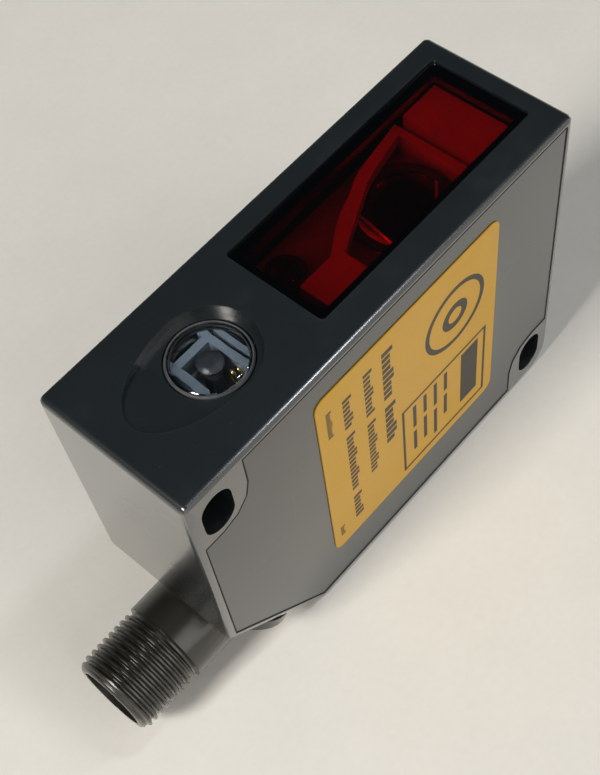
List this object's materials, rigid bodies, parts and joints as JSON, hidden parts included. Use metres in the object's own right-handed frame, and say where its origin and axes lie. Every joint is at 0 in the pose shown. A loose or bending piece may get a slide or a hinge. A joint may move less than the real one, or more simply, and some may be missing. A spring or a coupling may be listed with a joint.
{
  "type": "laser distance sensor",
  "caption": "Box-shaped photoelectric distance sensor with a long red window, a round teach button, a flush side cover and a threaded plug that swivels on a cut-off corner.",
  "frame": {"origin": "centre of the body's flat rest face, opposite the window", "axes": "+Z towards the window, +X along the length away from the plug, the cover and label are on the -Y side"},
  "size_m": [0.0788, 0.0216, 0.05],
  "materials": {
    "housing_paint": "dark blue-grey paint on a zinc casting, half gloss",
    "cover_paint": "dark blue-grey paint, half gloss",
    "seal_rubber": "matte black rubber",
    "label_film": "printed yellow film, satin",
    "window_filter": "polished dark red filter",
    "carrier_plastic": "moulded light grey",
    "lens_glass": "polished lens",
    "black_plastic": "moulded black",
    "barrel_metal": "black anodised",
    "contact_gold": "gold plated",
    "chip_plastic": "moulded black, fine grain",
    "board_green": "green solder resist",
    "flex_film": "amber film",
    "header_plastic": "moulded off-white",
    "button_clear": "clear, polished",
    "frame_grey": "moulded grey",
    "plug_metal": "blackened nickel, half gloss",
    "spring_steel": "rolled spring steel",
    "loom_sleeve": "brown sleeving"
  },
  "bodies": {
    "sensor_body": {"housing": "housing_paint", "side_cover": "cover_paint", "cover_seal": "seal_rubber", "label": "label_film", "window_pane": "window_filter", "window_seal": "seal_rubber", "optics_carrier": "carrier_plastic", "receiver_lens": "lens_glass", "lens_ring": "black_plastic", "laser_barrel": "barrel_metal", "emitter_lens": "lens_glass", "laser_diode": "contact_gold", "image_sensor": "chip_plastic", "detector_board": "board_green", "main_board": "board_green", "detector_flex": "flex_film", "processor_chip": "chip_plastic", "memory_chip": "chip_plastic", "power_inductor": "chip_plastic", "filter_capacitor": "flex_film", "loom_header": "header_plastic", "button_seal": "seal_rubber", "indicator_frame": "frame_grey", "tact_switch": "chip_plastic", "status_led_ready": "contact_gold", "status_led_output": "header_plastic", "button_board": "board_green", "wire_loom": "loom_sleeve"},
    "swivel_plug": {"swivel_elbow": "plug_metal", "swivel_seal": "seal_rubber", "swivel_retainer": "spring_steel", "connector_shell": "plug_metal", "connector_insert": "black_plastic", "contact_pin_1": "contact_gold", "contact_pin_2": "contact_gold", "contact_pin_3": "contact_gold", "contact_pin_4": "contact_gold", "contact_pin_5": "contact_gold"},
    "button": {"teach_button": "button_clear"}
  },
  "joints": [
    {"name": "plug_swivel", "type": "hinge", "parent": "sensor_body", "child": "swivel_plug", "pos_m": [-0.0249, -0.00175, 0.0076], "axis": [-0.7071, 0, -0.7071], "range_deg": [0, 180]},
    {"name": "button_press", "type": "slide", "parent": "sensor_body", "child": "button", "axis": [0, 0, -1], "range_m": [0, 0.0004], "stiffness_N_per_m": 4000, "springref_m": -0.0001}
  ]
}
